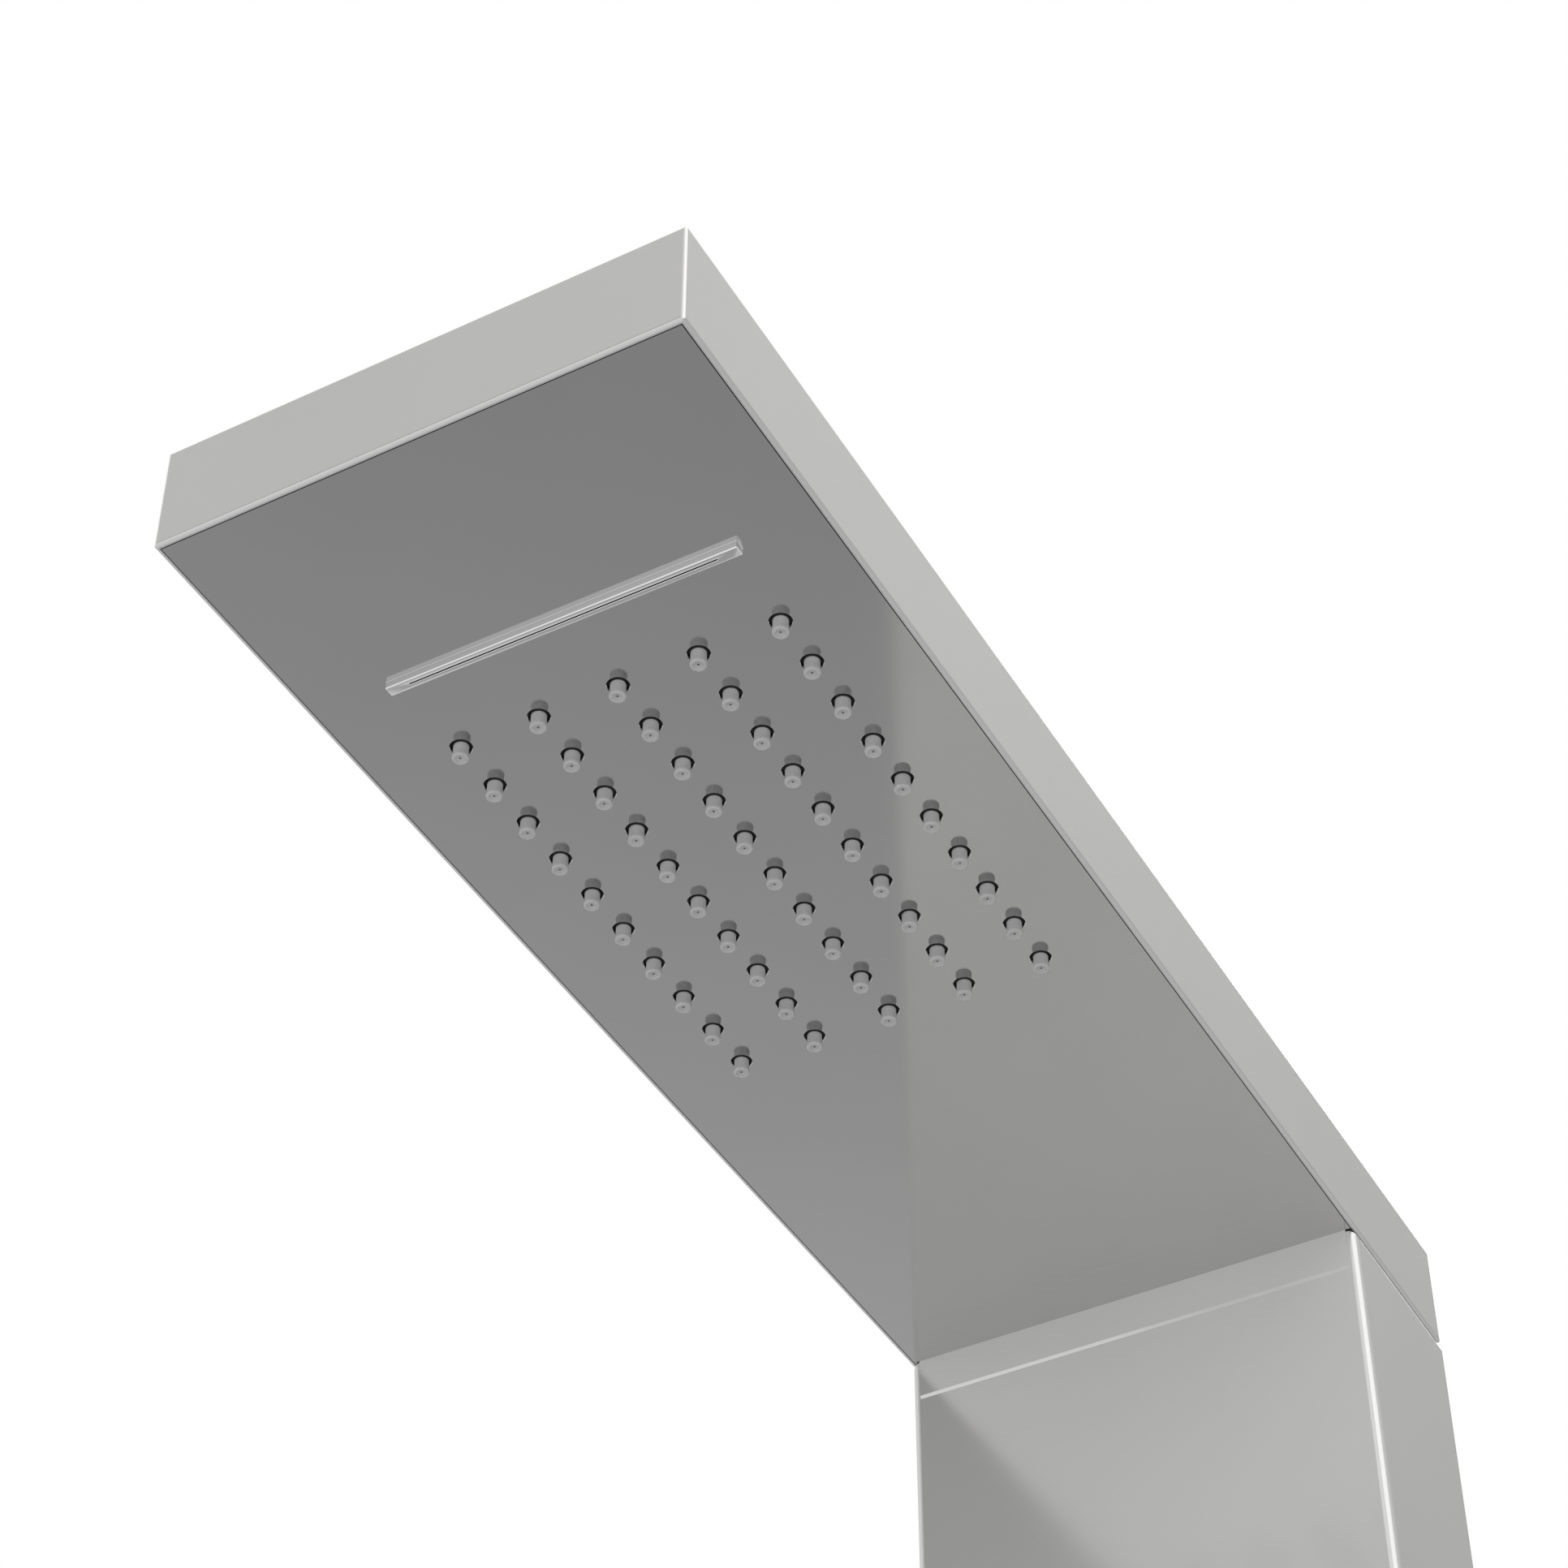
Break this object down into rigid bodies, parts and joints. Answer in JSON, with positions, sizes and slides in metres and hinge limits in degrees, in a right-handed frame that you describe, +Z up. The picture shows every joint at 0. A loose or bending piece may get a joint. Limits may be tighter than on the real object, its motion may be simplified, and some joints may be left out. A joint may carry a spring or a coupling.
{
  "type": "shower panel column",
  "caption": "Wall-hung steel shower panel: a long flat rain and waterfall head on a slim column with swivelling body jets, a thermostatic valve, a diverter, a handset cradle and a hose outlet.",
  "frame": {"origin": "on the wall plane, midway between the two screw holes of the upper wall bracket", "axes": "+X to the right across the panel as seen from the room, +Y into the wall, +Z up"},
  "size_m": [0.1745, 0.439, 1.3],
  "materials": {
    "panel_steel": "satin stainless sheet, soft blurred reflections",
    "fixing_steel": "plain stainless screws, nuts, rails and springs",
    "chrome": "bright chrome plating",
    "brass": "machined brass",
    "nozzle_silicone": "pale translucent silicone",
    "black_rubber": "matt black rubber",
    "grey_plastic": "moulded grey plastic",
    "ceramic": "polished ceramic",
    "red_plastic": "glossy red plastic"
  },
  "bodies": {
    "panel": {"head_shell": "panel_steel", "head_plate": "panel_steel", "nozzle_mat": "nozzle_silicone", "rain_chamber": "grey_plastic", "rain_elbow": "grey_plastic", "waterfall_spout": "panel_steel", "waterfall_gasket": "black_rubber", "waterfall_chamber": "grey_plastic", "waterfall_elbow": "grey_plastic", "chamber_nuts": "fixing_steel", "rain_pipe": "grey_plastic", "waterfall_pipe": "grey_plastic", "head_bolts": "fixing_steel", "head_nuts": "fixing_steel", "neck_seal": "black_rubber", "column_casing": "panel_steel", "bottom_cap": "panel_steel", "cap_screws": "fixing_steel", "upper_rail": "fixing_steel", "lower_rail": "fixing_steel", "rail_rivets": "fixing_steel", "upper_wall_bracket": "fixing_steel", "lower_wall_bracket": "fixing_steel", "thermo_body": "brass", "thermo_cartridge": "grey_plastic", "return_spring": "fixing_steel", "inlet_nipples": "brass", "inlet_strainers": "fixing_steel", "diverter_body": "brass", "diverter_cartridge": "grey_plastic", "fixed_disc": "ceramic", "clamp_rings": "brass", "gland_nuts": "brass", "valve_covers": "chrome", "valve_seals": "black_rubber", "mixed_pipe": "grey_plastic", "jet_riser": "grey_plastic", "hand_pipe": "grey_plastic", "jet_body_1": "grey_plastic", "jet_body_2": "grey_plastic", "jet_body_3": "grey_plastic", "jet_frames": "chrome", "jet_nuts": "grey_plastic", "hand_elbow": "chrome", "hand_nut": "brass", "hand_adapter": "brass", "cradle_post": "chrome"},
    "temperature": {"thermo_spindle": "brass", "temperature_knob": "chrome", "button_spring": "fixing_steel"},
    "button": {"safety_button": "red_plastic"},
    "spool": {"thermo_spool": "brass", "wax_element": "brass"},
    "diverter": {"turning_disc": "ceramic", "diverter_spindle": "brass", "diverter_knob": "chrome"},
    "jet_upper": {"jet_ball_1": "chrome"},
    "jet_middle": {"jet_ball_2": "chrome"},
    "jet_lower": {"jet_ball_3": "chrome"},
    "handset_cradle": {"cradle": "chrome"}
  },
  "joints": [
    {"name": "temperature_turn", "type": "hinge", "parent": "panel", "child": "temperature", "pos_m": [0, -0.0945, -0.89], "axis": [0, -1, 0], "range_deg": [-120, 90]},
    {"name": "safety_press", "type": "slide", "parent": "temperature", "child": "button", "axis": [0, 0, -1], "range_m": [0, 0.0018], "stiffness_N_per_m": 400, "springref_m": -0.002, "deforming": ["button_spring"]},
    {"name": "spool_slide", "type": "slide", "parent": "panel", "child": "spool", "axis": [0, -1, 0], "range_m": [-0.0005, 0.0004]},
    {"name": "diverter_turn", "type": "hinge", "parent": "panel", "child": "diverter", "pos_m": [0, -0.0945, -0.75], "axis": [0, -1, 0], "range_deg": [-144, 144]},
    {"name": "jet_upper_tilt", "type": "hinge", "parent": "panel", "child": "jet_upper", "pos_m": [0, -0.0655, -0.33], "axis": [1, 0, 0], "range_deg": [-15, 15]},
    {"name": "jet_middle_tilt", "type": "hinge", "parent": "panel", "child": "jet_middle", "pos_m": [0, -0.0655, -0.46], "axis": [1, 0, 0], "range_deg": [-15, 15]},
    {"name": "jet_lower_tilt", "type": "hinge", "parent": "panel", "child": "jet_lower", "pos_m": [0, -0.0655, -0.59], "axis": [1, 0, 0], "range_deg": [-15, 15]},
    {"name": "cradle_tilt", "type": "hinge", "parent": "panel", "child": "handset_cradle", "pos_m": [0.0885, -0.036, -0.64], "axis": [1, 0, 0], "range_deg": [-20, 20]}
  ],
  "couplings": [
    {"joint": "spool_slide", "follows": "temperature_turn", "m_per_rad": 0.0002}
  ]
}
